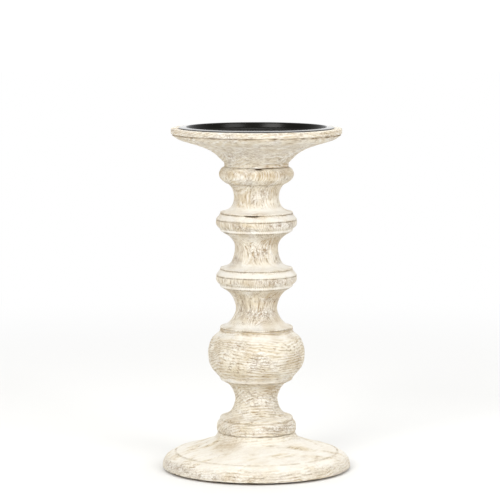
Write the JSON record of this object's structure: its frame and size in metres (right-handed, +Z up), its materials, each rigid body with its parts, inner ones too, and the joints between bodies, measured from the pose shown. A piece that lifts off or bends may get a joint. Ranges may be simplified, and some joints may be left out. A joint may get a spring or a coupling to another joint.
{
  "type": "wooden candlestick",
  "caption": "Turned whitewashed wooden candlestick with a bulb, two collars and a round foot, and a black steel dish for a pillar candle that lifts out of its top cup.",
  "frame": {"origin": "on the turning axis, at the underside of the felt pads where the candlestick meets the table", "axes": "+Z up along the turning axis, from the foot to the candle dish"},
  "size_m": [0.141, 0.141, 0.2564],
  "materials": {
    "whitewashed_wood": "wire-brushed, whitewashed and rubbed back, matte",
    "black_steel": "black satin enamel",
    "zinc_steel": "zinc plated",
    "felt": "pressed brown felt"
  },
  "bodies": {
    "stand": {"top_cup": "whitewashed_wood", "upper_column": "whitewashed_wood", "middle_column": "whitewashed_wood", "lower_column": "whitewashed_wood", "bulb_section": "whitewashed_wood", "base": "whitewashed_wood", "tie_rod": "zinc_steel", "upper_washer": "zinc_steel", "upper_nut": "zinc_steel", "lower_washer": "zinc_steel", "lower_nut": "zinc_steel", "felt_pad_1": "felt", "felt_pad_2": "felt", "felt_pad_3": "felt", "felt_pad_4": "felt"},
    "dish": {"candle_dish": "black_steel"}
  },
  "joints": [
    {"name": "dish_lift", "type": "slide", "parent": "stand", "child": "dish", "axis": [0, 0, 1], "range_m": [0, 0.06]}
  ]
}
